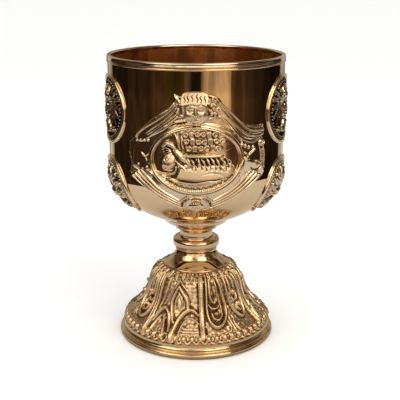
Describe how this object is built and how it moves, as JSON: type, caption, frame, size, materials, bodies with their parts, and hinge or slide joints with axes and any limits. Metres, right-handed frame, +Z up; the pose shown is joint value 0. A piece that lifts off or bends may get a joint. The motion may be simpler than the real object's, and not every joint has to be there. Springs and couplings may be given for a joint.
{
  "type": "communion chalice",
  "caption": "Footed cup with a lined bowl, applied relief medallions and oval plaque, turned stem with ring knop, and chased bell foot clamped by a tie rod.",
  "frame": {"origin": "centre of the base, on the surface that the foot stands on", "axes": "+Z up the stem to the lip, -Y towards the plaque on the front of the bowl, +X to the right seen from the front"},
  "size_m": [0.1036, 0.1024, 0.1666],
  "materials": {
    "polished_gold": "mirror polished warm gold plating",
    "bezel_gold": "mirror polished gold plating",
    "relief_gold": "cast and chased gold plating, dark in the recesses",
    "chased_gold": "chased gold plating with a stippled ground",
    "cup_gilding": "satin red gold gilding",
    "joinery_brass": "turned, unplated",
    "fastener_steel": "bright zinc"
  },
  "bodies": {
    "root": {"cup_liner": "cup_gilding", "cup_shell": "polished_gold", "lip_wire": "polished_gold", "cartouche_plate": "relief_gold", "plaque_bezel": "bezel_gold", "lamb_plaque": "relief_gold", "crest_mask": "relief_gold", "pendant_boss": "relief_gold", "upper_bezel_right": "bezel_gold", "upper_bezel_left": "bezel_gold", "upper_bezel_back_right": "bezel_gold", "upper_bezel_back_left": "bezel_gold", "upper_medal_right": "relief_gold", "upper_medal_left": "relief_gold", "upper_medal_back_right": "relief_gold", "upper_medal_back_left": "relief_gold", "lower_bezel_right": "bezel_gold", "lower_bezel_left": "bezel_gold", "lower_bezel_back_right": "bezel_gold", "lower_bezel_back_left": "bezel_gold", "lower_medal_right": "relief_gold", "lower_medal_left": "relief_gold", "lower_medal_back_right": "relief_gold", "lower_medal_back_left": "relief_gold", "bowl_saucer": "polished_gold", "neck_spool": "polished_gold", "knop": "polished_gold", "stem_collar": "polished_gold", "leaf_band": "chased_gold", "foot_shell": "chased_gold", "egg_gallery": "chased_gold", "foot_rim": "polished_gold", "cup_boss": "joinery_brass", "tie_rod": "fastener_steel", "stem_tube": "joinery_brass", "retaining_washer": "joinery_brass", "hex_nut": "fastener_steel"}
  },
  "joints": []
}
